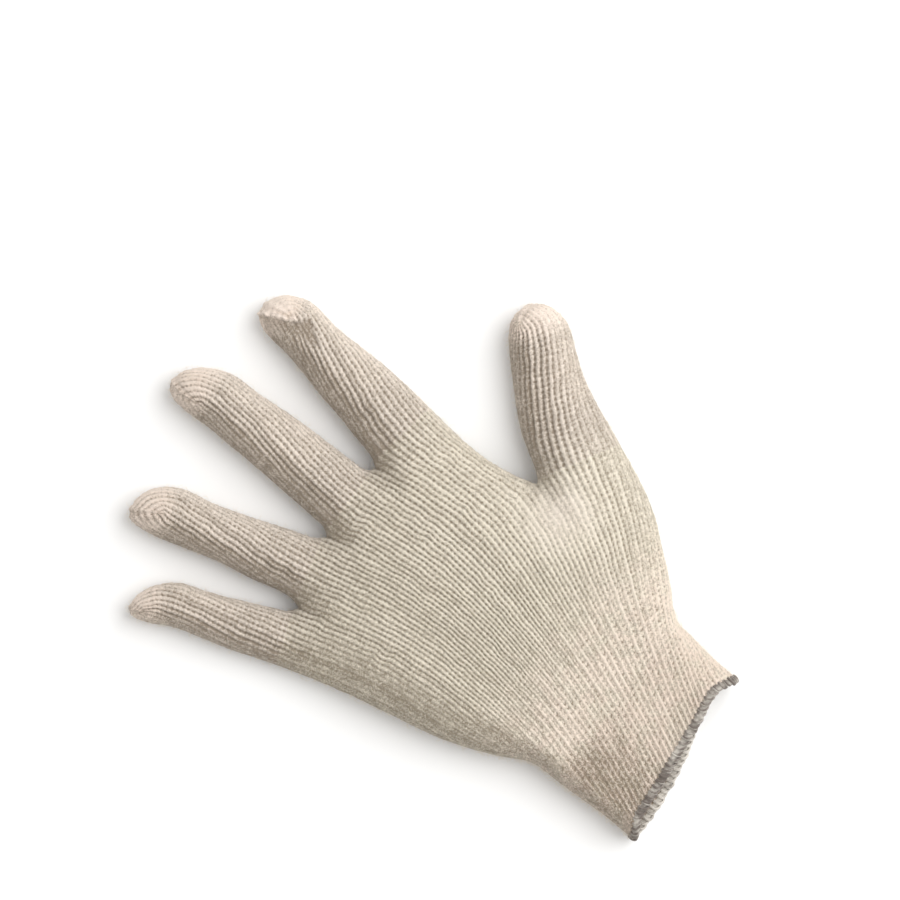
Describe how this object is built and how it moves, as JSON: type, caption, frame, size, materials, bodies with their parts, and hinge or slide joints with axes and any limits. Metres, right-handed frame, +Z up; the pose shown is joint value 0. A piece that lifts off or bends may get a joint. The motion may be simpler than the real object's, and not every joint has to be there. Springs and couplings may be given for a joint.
{
  "type": "cotton work glove",
  "caption": "Seamless string-knit cotton work glove for the left hand, lying palm down, fingers spread, hollow with an open mouth, elastic ribbed cuff and thread-edged rim",
  "frame": {"origin": "centre of the glove's footprint on the surface it lies on", "axes": "+Z up from the surface, +Y from the cuff to the fingertips, +X towards the thumb"},
  "size_m": [0.1904, 0.245, 0.028],
  "materials": {
    "cotton_knit": "unbleached cotton jersey knit, matte",
    "elastic_knit": "unbleached cotton mock rib with elastic, matte",
    "edging_thread": "overlock thread, matte"
  },
  "bodies": {
    "root": {"palm": "cotton_knit", "little_finger": "cotton_knit", "ring_finger": "cotton_knit", "middle_finger": "cotton_knit", "index_finger": "cotton_knit", "thumb": "cotton_knit", "cuff": "elastic_knit", "overlock": "edging_thread"}
  },
  "joints": []
}
